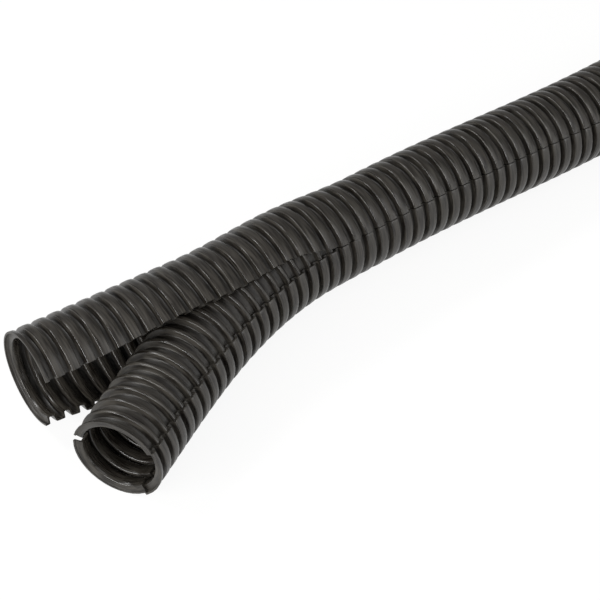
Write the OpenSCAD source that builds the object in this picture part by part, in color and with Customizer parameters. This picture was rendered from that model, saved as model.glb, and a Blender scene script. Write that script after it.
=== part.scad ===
// Divisible corrugated cable conduit: a slit inner tube and a slotted cover that snaps over it.
// The joined run lies along X and ends at the origin. The other end is pulled open to lay cables in.

/* [Stock] */
// Cut length along the axis
length = 500; // [320:10:600]
// Outside diameter over the crests
outer_d = 28.5; // [26:0.5:32]
// Distance from crest to crest, before it is fitted to a whole number of waves
wave_pitch = 4.8; // [4.6:0.1:5.4]
// Height of a wave, from the foot of a groove to the top of a crest
wave_height = 2; // [1.6:0.1:2.2]
// Width of a crest outside
crest_w = 3.3; // [2.9:0.1:3.6]
// Bevel on the edges of a crest
crest_bevel = 0.35; // [0.1:0.05:0.5]
// Thickness of the wall
wall = 0.6; // [0.4:0.05:0.65]

/* [Closure] */
// Arc of the inner tube's raised strip, which shows in the cover's slot
strip_arc = 82; // [76:1:88]
// How far below the level front side the strip faces
strip_roll = 10; // [6:1:14]
// Gap between the strip and each lip of the cover
seam_gap = 0.25; // [0.1:0.05:0.6]
// Play between the nested waves
nest_play = 0.15; // [0.1:0.05:0.3]
// Width of the inner tube's slit
slit_w = 1.2; // [0.6:0.1:3]

/* [Opened end] */
// Length along which the cover is pulled off, in outside diameters
open_share = 4.2; // [4.1:0.1:4.6]
// Number of waves there that stay straight before the two tubes turn apart
straight_waves = 4; // [4:1:5]
// Turn of the inner tube towards the front
inner_turn = 27; // [25:1:29]
// Turn of the cover towards the back
cover_turn = 4; // [3:1:7]
// Play between the waves where the cover rides over the inner tube
ride_play = 0.25; // [0.2:0.05:0.5]
// How far the cover's radius stays sprung open at its mouth
mouth_spread = 0.4; // [0:0.1:1]
// How far the cover's upper lip is bent open over the inner tube, as a share of its curve
upper_bend = 0.4; // [0.38:0.02:0.5]
// How far the cover's lower lip is bent open under the inner tube, as a share of its curve
lower_bend = 0.54; // [0.5:0.02:0.58]
// How far the tubes stand off the floor where they part, in outside diameters
prop_share = 0.19; // [0.19:0.01:0.24]
// Length of the joined run that rises to that height, in outside diameters
rise_share = 3.7; // [3.2:0.1:4.2]

/* [Hidden] */
$fn = 48;
conduit_black = "#383634";

waves = round(length / wave_pitch);
pitch = length / waves;
// Waves of the joined run that are turned from one outline
row_waves = 6;
crest_r = outer_d / 2;
nest_step = wall + nest_play;
strip_mid = 180 + strip_roll;
rib_arc = wall / crest_r * 180 / PI;
seam_arc = seam_gap / crest_r * 180 / PI;
slit_arc = slit_w / crest_r * 180 / PI;
cover_arc = 360 - strip_arc - 2 * seam_arc;

// A wall section: crest radius and width, hollow radius and width, groove radius, bore radius, bevel, and
// foot radius. The walls of a crest stop at the foot, inside the wall of the groove beside it.
function section(top_r, top_w, hollow_r, hollow_w, bevel, foot_share) = [top_r, top_w, hollow_r, hollow_w,
    top_r - wave_height, hollow_r - wave_height, bevel, hollow_r - wave_height + foot_share * wall];
// The lips are a hair thinner than the cover's back, and their hinged ends lie inside its wall.
lip_inset = 0.03;
nested_r = crest_r - nest_step;
nested_w = crest_w - 2 * nest_step;
flush = section(crest_r, crest_w, crest_r - wall, crest_w - 2 * wall, crest_bevel, 0.5);
function lip_wall(foot_share) = section(crest_r - lip_inset, crest_w - 2 * lip_inset,
    crest_r - wall + lip_inset, crest_w - 2 * wall + 2 * lip_inset, crest_bevel, foot_share);
nested = section(nested_r, nested_w, nested_r - wall, nested_w - 2 * wall, 0, 0.5);
rib = section(crest_r, crest_w, nested[2], nested[3], crest_bevel, 0.5);

function left_outside(z, s) = z[6] == 0 ? [[z[0], s - z[1] / 2]] :
    [[z[0] - z[6], s - z[1] / 2], [z[0], s - z[1] / 2 + z[6]]];
function right_outside(z, s) = z[6] == 0 ? [[z[0], s + z[1] / 2]] :
    [[z[0], s + z[1] / 2 - z[6]], [z[0] - z[6], s + z[1] / 2]];

// A row of whole crests with the grooves between them, from the foot of the first to the foot of the last.
function row_outline(z, count, grow) = [for (p = concat(
    [[z[7], -z[1] / 2]],
    [for (i = [0:count - 1], q = concat(
        i == 0 ? [] : [[z[4], i * pitch - z[1] / 2]], left_outside(z, i * pitch),
        right_outside(z, i * pitch), i == count - 1 ? [] : [[z[4], i * pitch + z[1] / 2]])) q],
    [[z[7], (count - 1) * pitch + z[1] / 2], [z[7], (count - 1) * pitch + z[3] / 2]],
    [for (i = [count - 1:-1:0], q = concat(
        i == count - 1 ? [] : [[z[5], i * pitch + z[3] / 2]],
        [[z[2], i * pitch + z[3] / 2], [z[2], i * pitch - z[3] / 2]],
        i == 0 ? [] : [[z[5], i * pitch - z[3] / 2]])) q],
    [[z[7], -z[3] / 2]])) [p[0] + grow, p[1]]];
// The half crest that is left where the stock is cut.
function mouth_outline(z, grow) = [for (p = concat(
    [[z[2], 0], [z[0], 0]], right_outside(z, 0), [[z[7], z[1] / 2]],
    [[z[7], z[3] / 2], [z[2], z[3] / 2]])) [p[0] + grow, p[1]]];
// The groove between two crests whose radii have grown by different amounts.
function groove_outline(z, grow_a, grow_b) = let (half = (pitch - z[1] + wall) / 2) [
    [z[5] + grow_a, -half], [z[4] + grow_a, -half], [z[4] + grow_b, half], [z[5] + grow_b, half]];

// Turns an outline about the X axis. Roll 0 is the back, 90 the top, 180 the front, 270 the bottom.
module turned(outline, from, arc) {
    rotate([0, 90, 0])
        rotate_extrude(angle = arc, start = from + 90)
            polygon(outline);
}

// Path of the opened end: step 0 is the joined run's first level crest, and each step is one wave nearer
// the mouth. The joined tubes rise first, then part, and then turn away from each other.
rise_waves = round(rise_share * outer_d / pitch);
open_waves = round(open_share * outer_d / pitch);
path_waves = rise_waves + open_waves;
cover_bend_waves = round(0.4 * (open_waves - straight_waves));
prop_height = prop_share * outer_d;
ride_spread = wave_height - nest_play + ride_play;
function ramp(share) = pow(sin(90 * max(0, min(1, share))), 2);
function parted(j) = max(0, j - rise_waves) / open_waves;
function turning(j) = max(0, j - rise_waves - straight_waves) / (open_waves - straight_waves);
function inner_heading(j) = inner_turn * sin(90 * turning(j));
function cover_heading(j) =
    -cover_turn * min(1, max(0, j - rise_waves - straight_waves) / cover_bend_waves);
function cover_height(j) = prop_height * ramp(j / rise_waves);
// The inner tube comes down to lie on its own crests at its mouth.
function inner_height(j) = cover_height(j) - (prop_height + nest_step) * ramp(turning(j));
// The rings of the rising run stand square to its slope, and those of the parted tubes stand upright.
function rise_slope(j) = atan((cover_height(j + 0.5) - cover_height(j - 0.5)) / pitch);
function step(h) = [-pitch * cos(h), -pitch * sin(h), 0];
function inner_xy(j) = j == 0 ? [0, 0, 0] : inner_xy(j - 1) + step(inner_heading(j - 0.5));
function cover_xy(j) = j == 0 ? [0, 0, 0] : cover_xy(j - 1) + step(cover_heading(j - 0.5));

// The cover swells where its waves ride up on the inner tube's, and its lips bend open where the inner
// tube passes between them. These are shares of the parted length.
swell_peak = 0.2;
swell_end = 0.56;
gape_start = 0.16;
gape_peak = 0.6;
gape_end = 1;
function swell(u) = u < swell_peak ? sin(90 * u / swell_peak) :
    1 - ramp((u - swell_peak) / (swell_end - swell_peak));
function spread(j) = ride_spread * swell(parted(j)) + mouth_spread * pow(parted(j), 2);
function gape(u) = u < gape_peak ? ramp((u - gape_start) / (gape_peak - gape_start)) :
    1 - ramp((u - gape_peak) / (gape_end - gape_peak));

module at_inner(j) {
    a = floor(j);
    b = ceil(j);
    translate((inner_xy(a) + inner_xy(b)) / 2 + [0, 0, (inner_height(a) + inner_height(b)) / 2])
        rotate([0, rise_slope(j), inner_heading(j)])
            children();
}

module at_cover(j) {
    a = floor(j);
    b = ceil(j);
    translate((cover_xy(a) + cover_xy(b)) / 2 + [0, 0, (cover_height(a) + cover_height(b)) / 2])
        rotate([0, rise_slope(j), cover_heading(j)])
            children();
}

// All the way round the inner tube: two nested sides, the raised strip and the two ribs at its edges.
module inner_round(nested_line, flush_line, rib_line) {
    strip_from = strip_mid - strip_arc / 2;
    strip_to = strip_mid + strip_arc / 2;
    side_arc = 180 - strip_arc / 2 - slit_arc / 2;
    turned(nested_line, strip_to, side_arc);
    turned(nested_line, strip_from - side_arc, side_arc);
    turned(flush_line, strip_from + rib_arc, strip_arc - 2 * rib_arc);
    turned(rib_line, strip_from, rib_arc);
    turned(rib_line, strip_to - rib_arc, rib_arc);
}
module inner_crests(count) {
    inner_round(row_outline(nested, count, 0), row_outline(flush, count, 0), row_outline(rib, count, 0));
}
module inner_groove() {
    inner_round(groove_outline(nested, 0, 0), groove_outline(flush, 0, 0), groove_outline(rib, 0, 0));
}
module inner_mouth() {
    inner_round(mouth_outline(nested, 0), mouth_outline(flush, 0), mouth_outline(rib, 0));
}

// The cover's back keeps its round, and each lip bends from a hinge line with a radius of its own. A lip
// is its side of the back and its bend, and all the arcs keep the lengths they have in the joined run.
upper_lip = [1, upper_bend];
lower_lip = [-1, lower_bend];
back_mid = strip_mid - 180;
half_arc = cover_arc / 2;
hinge_arc = 52;
function hinge(lip) = back_mid + lip[0] * hinge_arc;
function hinge_way(lip) = [0, cos(hinge(lip)), sin(hinge(lip))];
function lip_r(lip, j) = (crest_r + spread(j)) / (1 - lip[1] * gape(parted(j)));
function lip_grow(lip, j) = lip_r(lip, j) - crest_r;
function lip_shift(lip, j) = crest_r + spread(j) - lip_r(lip, j);
function lip_arc(lip, j) = (half_arc * crest_r - hinge_arc * (crest_r + spread(j))) / lip_r(lip, j);
// How far the end of a lip moves in half a wave. The crests reach deeper where the lips close fast.
function lip_sway(lip, j) = pow((half_arc - hinge_arc) * PI / 180 * crest_r, 2) / 4 *
    abs(1 / lip_r(lip, j + 0.5) - 1 / lip_r(lip, j - 0.5));

module cover_crests(count) {
    turned(row_outline(flush, count, 0), back_mid - half_arc, cover_arc);
}
module cover_groove() {
    turned(groove_outline(flush, 0, 0), back_mid - half_arc, cover_arc);
}
module cover_mouth(grow) {
    arc = half_arc * crest_r / (crest_r + grow);
    turned(mouth_outline(flush, grow), back_mid - arc, 2 * arc);
}
// A lip starts a lap inside the back, and ends a trim short of its full length.
module lip_turned(lip, j, line, lap, trim) {
    lap_arc = lap / lip_r(lip, j) * 180 / PI;
    arc = lip_arc(lip, j) - trim / lip_r(lip, j) * 180 / PI;
    translate(lip_shift(lip, j) * hinge_way(lip))
        turned(line, lip[0] > 0 ? hinge(lip) - lap_arc : hinge(lip) - arc, arc + lap_arc);
}
module open_crest(j) {
    turned(row_outline(flush, 1, spread(j)), back_mid - hinge_arc, 2 * hinge_arc);
    for (lip = [upper_lip, lower_lip]) {
        closing = parted(j) > gape_peak;
        foot_share = closing && lip_sway(lip, j) > 0.45 * wall ? 0.3 : 0.5;
        lip_turned(lip, j, row_outline(lip_wall(foot_share), 1, lip_grow(lip, j)), 0.6, 0);
    }
}
// The groove between crests j - 1 and j has the middle shape of the two, and its back leans from one to
// the other where they differ by more than a hair.
module open_groove(j) {
    lean = abs(spread(j) - spread(j - 1)) > 0.04 ? 0.5 : 0;
    back_arc = hinge_arc - 1;
    turned(groove_outline(flush, spread(j - 0.5 + lean), spread(j - 0.5 - lean)),
        back_mid - back_arc, 2 * back_arc);
    for (lip = [upper_lip, lower_lip]) {
        grow = lip_grow(lip, j - 0.5);
        lip_turned(lip, j - 0.5, groove_outline(lip_wall(0.5), grow, grow), 1, 0.1);
    }
}

// Places along the joined run: the first crest of each row, and the grooves that tie the rows together.
run_waves = waves - path_waves;
row_starts = [0:row_waves:run_waves - 1];
function row_count(first) = min(row_waves, run_waves - first);
run_ties = [for (first = row_starts) first + row_count(first) - 0.5];
module at_run(i) {
    translate([i * pitch, 0, 0])
        children();
}

module inner_tube() {
    color(conduit_black)
    translate([-run_waves * pitch, 0, 0]) {
        for (first = row_starts) at_run(first) inner_crests(row_count(first));
        for (i = run_ties) at_run(i) inner_groove();
        at_run(run_waves) mirror([1, 0, 0]) inner_mouth();
        for (j = [1:path_waves - 1]) at_inner(j) inner_crests(1);
        for (j = [1:path_waves]) at_inner(j - 0.5) inner_groove();
        at_inner(path_waves) inner_mouth();
    }
}

module cover_tube() {
    color(conduit_black)
    translate([-run_waves * pitch, 0, 0]) {
        for (first = row_starts) at_run(first) cover_crests(row_count(first));
        for (i = run_ties) at_run(i) cover_groove();
        at_run(run_waves) mirror([1, 0, 0]) cover_mouth(0);
        for (j = [1:rise_waves]) at_cover(j) cover_crests(1);
        for (j = [1:rise_waves]) at_cover(j - 0.5) cover_groove();
        for (j = [rise_waves + 1:path_waves - 1]) at_cover(j) open_crest(j);
        for (j = [rise_waves + 1:path_waves]) at_cover(j - 0.5) open_groove(j);
        at_cover(path_waves) cover_mouth(spread(path_waves));
    }
}

inner_tube();
cover_tube();
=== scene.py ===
import math
import bmesh
import bpy
from mathutils import Matrix, Vector


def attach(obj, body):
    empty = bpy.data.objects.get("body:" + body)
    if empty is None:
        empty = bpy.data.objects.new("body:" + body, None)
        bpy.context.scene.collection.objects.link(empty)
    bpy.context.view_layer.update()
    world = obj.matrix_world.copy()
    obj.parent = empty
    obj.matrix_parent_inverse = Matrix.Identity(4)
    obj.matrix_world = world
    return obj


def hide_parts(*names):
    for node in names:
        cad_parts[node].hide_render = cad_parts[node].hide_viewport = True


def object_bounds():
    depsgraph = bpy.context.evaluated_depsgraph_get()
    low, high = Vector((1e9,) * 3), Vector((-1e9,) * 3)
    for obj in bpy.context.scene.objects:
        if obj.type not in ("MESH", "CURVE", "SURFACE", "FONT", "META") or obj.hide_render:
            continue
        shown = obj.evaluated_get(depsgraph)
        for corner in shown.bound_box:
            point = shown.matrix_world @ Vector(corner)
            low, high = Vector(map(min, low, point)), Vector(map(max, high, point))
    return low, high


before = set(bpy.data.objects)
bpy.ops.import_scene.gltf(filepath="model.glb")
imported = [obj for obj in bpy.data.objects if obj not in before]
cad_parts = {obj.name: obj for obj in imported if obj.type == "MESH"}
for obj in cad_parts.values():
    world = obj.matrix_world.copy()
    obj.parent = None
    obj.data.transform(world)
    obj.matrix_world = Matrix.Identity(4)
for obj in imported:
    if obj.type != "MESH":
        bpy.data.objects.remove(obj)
cad_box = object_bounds()

MILLIMETRE = 0.001

# Sizes of the conduit in millimetres and degrees, as in the part's source.
LENGTH = 500.0
OUTER_D = 28.5
WAVES = 104
PITCH = LENGTH / WAVES
CREST_R = OUTER_D / 2
WAVE_HEIGHT = 2.0
CREST_W = 3.3
WALL = 0.6
STRIP_ARC = 82.0
STRIP_MID = 190.0
SEAM_GAP = 0.25
NEST_PLAY = 0.15
SLIT_W = 1.2

# Opened end, in waves from the joined run's last level crest.
RISE_WAVES = 22
OPEN_WAVES = 25
STRAIGHT_WAVES = 4
PATH_WAVES = RISE_WAVES + OPEN_WAVES
RUN = (WAVES - PATH_WAVES) * PITCH
INNER_TURN = 27.0
COVER_TURN = 4.0
COVER_BEND_WAVES = 8
PROP_HEIGHT = 0.19 * OUTER_D

# How the cover springs open. Places are shares of the opened waves. The swell is drawn smaller than in the
# part's source, because the real tubes are soft and press together where they part.
RIDE_SPREAD = 1.7
SWELL_PEAK = 0.26
SWELL_FALL = 0.3
MOUTH_SPREAD = 0.4
HINGE_ARC = 52.0
UPPER_BEND = 0.4
LOWER_BEND = 0.54
GAPE_START = 0.16
GAPE_PEAK = 0.6
STRETCH_END = 0.1
STRETCH_FALL = 0.25

# How far each side of the inner tube's slit is turned away at its mouth, over which arc and how many waves.
# The source keeps the slit straight.
SLIT_FLARE = 2.8
FLARE_ARC = 70.0
FLARE_WAVES = 5

# Small shapes of a wave: the crest's crown, its edges, the grooves' feet and the walls' draft.
CROWN = 0.05
EDGE_R = 0.3
FOOT_R = 0.3
DRAFT = 0.22
# Easing of the hollow behind a crest and of the bore: flush walls, then nested walls.
FLUSH_EASE = (0.2, 0.3)
NESTED_EASE = (0.05, 0.5)
BORE_EASE_SHARE = 0.3

# Facets around each wall, places to a wave along a centreline, the distance in millimetres at which points of
# neighbouring waves are joined, and the angle from which an edge is drawn sharp.
SIDE_STEPS = 14
STRIP_STEPS = 8
COVER_STEPS = 40
FINE = 8
JOIN_DISTANCE = 0.001
SHARP_ANGLE = 50.0

NEST_STEP = WALL + NEST_PLAY
NESTED_R = CREST_R - NEST_STEP
NESTED_W = CREST_W - 2 * NEST_STEP
SEAM_ARC = math.degrees(SEAM_GAP / CREST_R)
RIB_ARC = math.degrees(WALL / CREST_R)
SLIT_ARC = math.degrees(SLIT_W / CREST_R)
COVER_HALF = 180 - STRIP_ARC / 2 - SEAM_ARC
SIDE_ARC = 180 - STRIP_ARC / 2 - SLIT_ARC / 2
BACK_MID = STRIP_MID - 180


def sin_deg(angle):
    return math.sin(math.radians(angle))


def ramp(share):
    """Rises smoothly from 0 to 1 as share does."""
    return sin_deg(90 * max(0.0, min(1.0, share))) ** 2


def parted(j):
    """The share of the opened waves that lies before wave j."""
    return max(0.0, j - RISE_WAVES) / OPEN_WAVES


def turning(j):
    """The share of the bent waves that lies before wave j."""
    return max(0.0, j - RISE_WAVES - STRAIGHT_WAVES) / (OPEN_WAVES - STRAIGHT_WAVES)


def inner_heading(j):
    return INNER_TURN * sin_deg(90 * turning(j))


def cover_heading(j):
    return -COVER_TURN * min(1.0, max(0, j - RISE_WAVES - STRAIGHT_WAVES) / COVER_BEND_WAVES)


def cover_height(j):
    return PROP_HEIGHT * ramp(j / RISE_WAVES)


def inner_height(j):
    return cover_height(j) - (PROP_HEIGHT + NEST_STEP) * ramp(turning(j))


def rise_slope(j):
    return math.atan((cover_height(j + 0.5) - cover_height(j - 0.5)) / PITCH)


def spread(j):
    """How much wider the cover's back is."""
    u = parted(j)
    swell = ramp(u / SWELL_PEAK) if u < SWELL_PEAK else 1 - ramp((u - SWELL_PEAK) / SWELL_FALL)
    return RIDE_SPREAD * swell + MOUTH_SPREAD * u * u


def gape(j):
    """How far the cover's lips are bent out: 0 where they are closed, 1 where they are widest."""
    u = parted(j)
    if u < GAPE_PEAK:
        return ramp((u - GAPE_START) / (GAPE_PEAK - GAPE_START))
    return 1 - ramp((u - GAPE_PEAK) / (1 - GAPE_PEAK))


def stretch(j):
    """How much longer the cover's upper lip is drawn, so that it stays by the strip until it comes off."""
    return 1 + spread(j) / CREST_R * (1 - ramp((parted(j) - STRETCH_END) / STRETCH_FALL))


def centreline(heading, height):
    """Where a tube's axis is at each fine step of the opened end, and how its rings stand there."""
    x, y, places = -RUN, 0.0, []
    for i in range(PATH_WAVES * FINE + 1):
        j = i / FINE
        stand = (Matrix.Rotation(math.radians(heading(j)), 3, "Z")
                 @ Matrix.Rotation(rise_slope(j), 3, "Y"))
        places.append((Vector((x, y, height(j))), stand))
        along = math.radians(heading(j + 0.5 / FINE))
        x -= PITCH / FINE * math.cos(along)
        y -= PITCH / FINE * math.sin(along)
    return places


def around(roll):
    return Vector((0.0, math.cos(math.radians(roll)), math.sin(math.radians(roll))))


def roll_from_back(ring_point):
    """A ring point's roll from the middle of the back, from -180 to 180 degrees."""
    roll = math.degrees(math.atan2(ring_point.z, ring_point.y)) - BACK_MID
    return (roll + 180) % 360 - 180


def on_path(places, j, ring_point):
    """A point of a ring, carried to its place j waves along the opened end."""
    i = min(int(j * FINE), len(places) - 2)
    (spot, stand), (next_spot, next_stand) = places[i], places[i + 1]
    share = j * FINE - i
    return (spot + stand @ ring_point).lerp(next_spot + next_stand @ ring_point, share)


def lip_open(ring_point, j):
    """Springs the cover's ring open: its back swells, and each lip bends out from its hinge line."""
    roll = roll_from_back(ring_point)
    side, thick = math.copysign(1, roll), math.hypot(ring_point.y, ring_point.z) - CREST_R
    back_r = CREST_R + spread(j)
    lip_from = math.radians(HINGE_ARC) * back_r
    arc = math.radians(abs(roll)) * CREST_R * (stretch(j) if side > 0 else 1)
    if arc <= lip_from:
        return (back_r + thick) * around(BACK_MID + side * math.degrees(arc / back_r))
    lip_r = back_r / (1 - (UPPER_BEND if side > 0 else LOWER_BEND) * gape(j))
    angle = HINGE_ARC + math.degrees((arc - lip_from) / lip_r)
    return ((back_r - lip_r) * around(BACK_MID + side * HINGE_ARC)
            + (lip_r + thick) * around(BACK_MID + side * angle))


def slit_flare(ring_point, j):
    """Lets the inner tube's slit gape over the last waves before its mouth."""
    roll = roll_from_back(ring_point)
    near_slit = 1 - ramp(abs(roll) / FLARE_ARC)
    near_mouth = ramp((j - PATH_WAVES + FLARE_WAVES) / FLARE_WAVES)
    flare = math.copysign(SLIT_FLARE * near_slit * near_mouth, roll)
    return Matrix.Rotation(math.radians(flare), 3, "X") @ ring_point


def wave_line(top_r, top_w, hollow_r, hollow_w, ease):
    """One wave of a wall from crest to crest: outside with rounded edges and feet, then back inside.
    Each point has its place along the axis, its radius, and 1 where it is on a rubbed edge."""
    half, groove_r = top_w / 2 - DRAFT, top_r - WAVE_HEIGHT
    edge_r, bend = top_r - CROWN - EDGE_R, math.sqrt(0.5)
    foot_x = -half - DRAFT
    falling = [(-half + EDGE_R, top_r - CROWN, 1),
               (-half + EDGE_R - EDGE_R * bend, edge_r + EDGE_R * bend, 1),
               (-half, edge_r, 1),
               (foot_x, groove_r + FOOT_R, 0),
               (foot_x - FOOT_R * (1 - bend), groove_r + FOOT_R * (1 - bend), 0),
               (foot_x - FOOT_R, groove_r, 0)]
    rising = [(-PITCH - x, radius, rubbed) for x, radius, rubbed in reversed(falling)]
    top_ease, bore_ease = ease
    rim, bore_r = hollow_w / 2, hollow_r - WAVE_HEIGHT
    inner_falling = [(-rim + top_ease, hollow_r, 0),
                     (-rim, hollow_r - top_ease, 0),
                     (-rim - BORE_EASE_SHARE * bore_ease, bore_r + (1 - BORE_EASE_SHARE) * bore_ease, 1),
                     (-rim - bore_ease, bore_r, 1)]
    inner_rising = [(-PITCH - x, radius, rubbed) for x, radius, rubbed in inner_falling]
    return ([(0, top_r, 0)] + falling + rising + [(-PITCH, top_r, 0), (-PITCH, hollow_r, 0)]
            + inner_rising + inner_falling[::-1] + [(0, hollow_r, 0)])


def turned_wall(line, start, arc, steps):
    """A straight wall with all its waves, turned about the axis from roll start through arc."""
    bm = bmesh.new()
    edge_share = bm.verts.layers.float.new("edge_share")
    wave = bm.faces.new([bm.verts.new((x, radius, 0)) for x, radius, rubbed in line])
    for v, (x, radius, rubbed) in zip(wave.verts, line):
        v[edge_share] = rubbed
    for i in range(1, WAVES):
        copy = bmesh.ops.duplicate(bm, geom=list(wave.verts) + list(wave.edges) + [wave])["geom"]
        bmesh.ops.translate(bm, vec=(-i * PITCH, 0, 0),
                            verts=[v for v in copy if isinstance(v, bmesh.types.BMVert)])
    bmesh.ops.remove_doubles(bm, verts=bm.verts, dist=JOIN_DISTANCE)
    bmesh.ops.rotate(bm, verts=bm.verts, matrix=Matrix.Rotation(math.radians(start), 3, "X"))
    bmesh.ops.spin(bm, geom=bm.verts[:] + bm.edges[:] + bm.faces[:], axis=(1, 0, 0),
                   angle=math.radians(arc), steps=steps)
    bmesh.ops.recalc_face_normals(bm, faces=bm.faces)
    return bm


def conduit_piece(name, node, walls, places, shape_ring, cut_roll, material):
    """Bends straight walls along their path, and makes one piece of them in metres. wall_place keeps each
    point's place in the straight wall: along it, around it from its lengthwise cut, and its radius."""
    piece_bm = bmesh.new()
    wall_place = piece_bm.verts.layers.float_vector.new("wall_place")
    for bm in walls:
        mesh = bpy.data.meshes.new(name + "_wall")
        bm.to_mesh(mesh)
        bm.free()
        piece_bm.from_mesh(mesh)
        bpy.data.meshes.remove(mesh)
    for v in piece_bm.verts:
        roll = (math.degrees(math.atan2(v.co.z, v.co.y)) - cut_roll) % 360
        v[wall_place] = (v.co.x, math.radians(roll) * CREST_R, math.hypot(v.co.y, v.co.z))
        j = (-v.co.x - RUN) / PITCH
        if j > 0:
            v.co = on_path(places, j, shape_ring(Vector((0, v.co.y, v.co.z)), j))
    for face in piece_bm.faces:
        face.smooth = True
    bmesh.ops.scale(piece_bm, verts=piece_bm.verts, vec=(MILLIMETRE, MILLIMETRE, MILLIMETRE))
    mesh = bpy.data.meshes.new(name)
    piece_bm.to_mesh(mesh)
    piece_bm.free()
    mesh.set_sharp_from_angle(angle=math.radians(SHARP_ANGLE))
    mesh.materials.append(material)
    piece = bpy.data.objects.new(name, mesh)
    bpy.context.collection.objects.link(piece)
    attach(piece, "root")
    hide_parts(node)


def srgb(code):
    """Linear colour of an sRGB hex value."""
    parts = [int(code[i:i + 2], 16) / 255 for i in (1, 3, 5)]
    return tuple(c / 12.92 if c <= 0.04045 else ((c + 0.055) / 1.055) ** 2.4 for c in parts) + (1.0,)


def add(tree, kind, links=None, **settings):
    """Adds a node, sets its properties and inputs, and links other nodes' outputs to it."""
    node = tree.nodes.new(kind)
    for key, value in settings.items():
        if key.startswith("in_"):
            node.inputs[key[3:].replace("_", " ")].default_value = value
        else:
            setattr(node, key, value)
    for socket, source in (links or {}).items():
        tree.links.new(source, node.inputs[socket])
    return node


def new_material(name):
    material = bpy.data.materials.new(name)
    material.use_nodes = True
    material.node_tree.nodes.clear()
    return material, material.node_tree


# Marks on the plastic, in millimetres. The turned moulds leave rings about 0.2 mm wide, which are drawn
# wider so that they show. Uneven cooling changes the gloss over about 9 mm.
RING_W = 0.4
RING_LENGTH = 8.0
RING_RELIEF = 0.03
CLOUD_SIZE = 9.0
# Roughness of the plain wall, and what rubbed edges, clouds and rings add to it.
PLAIN_ROUGHNESS = 0.37
EDGE_ROUGHNESS = -0.19
CLOUD_ROUGHNESS = 0.12
RING_ROUGHNESS = 0.08
# Strength of the rings' relief, and what rubbing wears off it.
RING_BUMP = 0.3
EDGE_BUMP = -0.27
# Range of the noise that the rings take up, and the tints at its two ends.
RING_FROM, RING_TO = 0.36, 0.64
DARK_TINT, LIGHT_TINT = "#14110e", "#34312c"
PLASTIC_IOR = 1.49
SPECULAR_LEVEL = 0.42


def black_polypropylene(name):
    """Extruded and vacuum-formed polypropylene with carbon black: a warm satin black. The turned moulds leave
    fine rings around it, and rubbing in the coil leaves the crests' edges smoother than the rest."""
    material, tree = new_material(name)
    place = add(tree, "ShaderNodeAttribute", attribute_name="wall_place")
    edge = add(tree, "ShaderNodeAttribute", attribute_name="edge_share")
    cloud = add(tree, "ShaderNodeTexNoise", {"Vector": place.outputs["Vector"]},
                in_Scale=1 / CLOUD_SIZE, in_Detail=3.0, in_Roughness=0.55)
    squeezed = add(tree, "ShaderNodeVectorMath", {0: place.outputs["Vector"]}, operation="MULTIPLY")
    squeezed.inputs[1].default_value = (1 / RING_W, 1 / RING_LENGTH, 1)
    rings = add(tree, "ShaderNodeTexNoise", {"Vector": squeezed.outputs["Vector"]},
                in_Scale=1.0, in_Detail=2.0, in_Roughness=0.6)
    marks = add(tree, "ShaderNodeMapRange", {"Value": rings.outputs["Fac"]},
                in_From_Min=RING_FROM, in_From_Max=RING_TO)
    tint = add(tree, "ShaderNodeMix", {"Factor": marks.outputs["Result"]}, data_type="RGBA")
    tint.inputs["A"].default_value = srgb(DARK_TINT)
    tint.inputs["B"].default_value = srgb(LIGHT_TINT)
    smooth = add(tree, "ShaderNodeMath", {0: edge.outputs["Fac"]}, operation="MULTIPLY_ADD")
    smooth.inputs[1].default_value = EDGE_ROUGHNESS
    smooth.inputs[2].default_value = PLAIN_ROUGHNESS
    uneven = add(tree, "ShaderNodeMath", {0: cloud.outputs["Fac"], 2: smooth.outputs[0]},
                 operation="MULTIPLY_ADD")
    uneven.inputs[1].default_value = CLOUD_ROUGHNESS
    rough = add(tree, "ShaderNodeMath", {0: marks.outputs["Result"], 2: uneven.outputs[0]},
                operation="MULTIPLY_ADD")
    rough.inputs[1].default_value = RING_ROUGHNESS
    kept = add(tree, "ShaderNodeMath", {0: edge.outputs["Fac"]}, operation="MULTIPLY_ADD")
    kept.inputs[1].default_value = EDGE_BUMP
    kept.inputs[2].default_value = RING_BUMP
    bump = add(tree, "ShaderNodeBump", {"Height": rings.outputs["Fac"], "Strength": kept.outputs[0]},
               in_Distance=RING_RELIEF * MILLIMETRE)
    skin = add(tree, "ShaderNodeBsdfPrincipled",
               {"Base Color": tint.outputs["Result"], "Roughness": rough.outputs[0],
                "Normal": bump.outputs["Normal"]}, in_IOR=PLASTIC_IOR, in_Specular_IOR_Level=SPECULAR_LEVEL)
    add(tree, "ShaderNodeOutputMaterial", {"Surface": skin.outputs["BSDF"]})
    return material


flush_line = wave_line(CREST_R, CREST_W, CREST_R - WALL, CREST_W - 2 * WALL, FLUSH_EASE)
nested_line = wave_line(NESTED_R, NESTED_W, NESTED_R - WALL, NESTED_W - 2 * WALL, NESTED_EASE)
rib_line = wave_line(CREST_R, CREST_W, NESTED_R - WALL, NESTED_W - 2 * WALL, NESTED_EASE)
strip_start, strip_end = STRIP_MID - STRIP_ARC / 2, STRIP_MID + STRIP_ARC / 2
inner_walls = [turned_wall(nested_line, strip_end, SIDE_ARC, SIDE_STEPS),
               turned_wall(nested_line, strip_start - SIDE_ARC, SIDE_ARC, SIDE_STEPS),
               turned_wall(flush_line, strip_start + RIB_ARC, STRIP_ARC - 2 * RIB_ARC, STRIP_STEPS),
               turned_wall(rib_line, strip_start, RIB_ARC, 1),
               turned_wall(rib_line, strip_end - RIB_ARC, RIB_ARC, 1)]
cover_walls = [turned_wall(flush_line, BACK_MID - COVER_HALF, 2 * COVER_HALF, COVER_STEPS)]
conduit_piece("inner_tube_wall_piece", "inner_tube", inner_walls,
              centreline(inner_heading, inner_height), slit_flare, BACK_MID,
              black_polypropylene("inner_black_polypropylene"))
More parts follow.
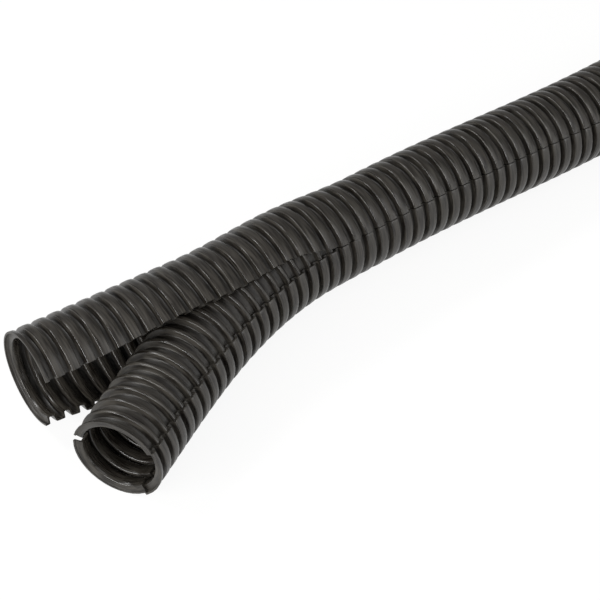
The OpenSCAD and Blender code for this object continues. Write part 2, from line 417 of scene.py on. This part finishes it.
conduit_piece("cover_tube_wall_piece", "cover_tube", cover_walls,
              centreline(cover_heading, cover_height), lip_open, STRIP_MID,
              black_polypropylene("cover_black_polypropylene"))

# Floor under the lowest crests: matt white. Most of what the eye sees of it is a plain glow at a strength
# of 1, and the rest is lit, so that it keeps the shadow.
FLOOR_HALF = 6
FLOOR_GLOW = 0.9
floor_mesh = bpy.data.meshes.new("floor")
floor_bm = bmesh.new()
bmesh.ops.create_grid(floor_bm, x_segments=1, y_segments=1, size=FLOOR_HALF)
bmesh.ops.translate(floor_bm, verts=floor_bm.verts, vec=(0, 0, cad_box[0][2]))
floor_bm.to_mesh(floor_mesh)
floor_bm.free()
floor = bpy.data.objects.new("floor", floor_mesh)
bpy.context.collection.objects.link(floor)
paper, tree = new_material("white_paper_floor")
seen = add(tree, "ShaderNodeLightPath")
reflected = add(tree, "ShaderNodeMath",
                {0: seen.outputs["Is Camera Ray"], 1: seen.outputs["Is Glossy Ray"]}, operation="MAXIMUM")
passed = add(tree, "ShaderNodeMath",
             {0: reflected.outputs[0], 1: seen.outputs["Is Transmission Ray"]}, operation="MAXIMUM")
share = add(tree, "ShaderNodeMath", {0: passed.outputs[0]}, operation="MULTIPLY")
share.inputs[1].default_value = FLOOR_GLOW
matt = add(tree, "ShaderNodeBsdfDiffuse", in_Color=srgb("#f4f4f2"))
glow = add(tree, "ShaderNodeEmission", in_Strength=1.0)
mixed = add(tree, "ShaderNodeMixShader",
            {"Fac": share.outputs[0], 1: matt.outputs[0], 2: glow.outputs[0]})
add(tree, "ShaderNodeOutputMaterial", {"Surface": mixed.outputs[0]})
floor_mesh.materials.append(paper)

ROOM_STRENGTH = 0.28
world = bpy.data.worlds.new("studio")
bpy.context.scene.world = world
world.use_nodes = True
room = world.node_tree.nodes["Background"]
room.inputs["Color"].default_value = (1, 1, 1, 1)
room.inputs["Strength"].default_value = ROOM_STRENGTH


def soft_lamp(name, place, target, size, power):
    """A soft box of a width and height in metres and a power in watts, turned to its target."""
    lamp = bpy.data.lights.new(name, "AREA")
    lamp.shape = "RECTANGLE"
    lamp.size, lamp.size_y = size
    lamp.energy = power
    holder = bpy.data.objects.new(name, lamp)
    holder.location = place
    holder.rotation_euler = (Vector(target) - Vector(place)).to_track_quat("-Z", "Y").to_euler()
    bpy.context.collection.objects.link(holder)


# The strip on the left draws the thin glints on the crests' edges and lights the two mouths. The others
# light the crests' tops and the seam.
PARTING = (-0.4, 0, 0)
JOINED_RUN = (-0.3, 0, 0)
soft_lamp("back_left_key", (-0.85, 0.65, 0.85), PARTING, (0.25, 0.25), 6)
soft_lamp("front_key", (-0.2, -0.8, 1.04), PARTING, (0.9, 0.9), 5.5)
soft_lamp("left_strip", (-1.35, -0.16, 0.46), PARTING, (1.1, 0.09), 14)
soft_lamp("low_right_fill", (0.28, -1.13, 0.3), JOINED_RUN, (1.0, 0.4), 5)

# Camera at the photograph's angle, turned to a point near the parting.
AIM = Vector((-0.4196, -0.0166, 0.0060))
SIGHT = Vector((0.4482, 0.5711, -0.6877)).normalized()
EYE_DISTANCE = 0.5764
LENS = 117.3
SENSOR_W = 36
NEAREST_SEEN = 0.01
camera = bpy.data.cameras.new("camera")
camera.lens = LENS
camera.sensor_width = SENSOR_W
camera.clip_start = NEAREST_SEEN
eye = bpy.data.objects.new("camera", camera)
eye.location = AIM - EYE_DISTANCE * SIGHT
eye.rotation_euler = SIGHT.to_track_quat("-Z", "Y").to_euler()
bpy.context.collection.objects.link(eye)
bpy.context.scene.camera = eye
bpy.context.scene.view_settings.view_transform = "Standard"
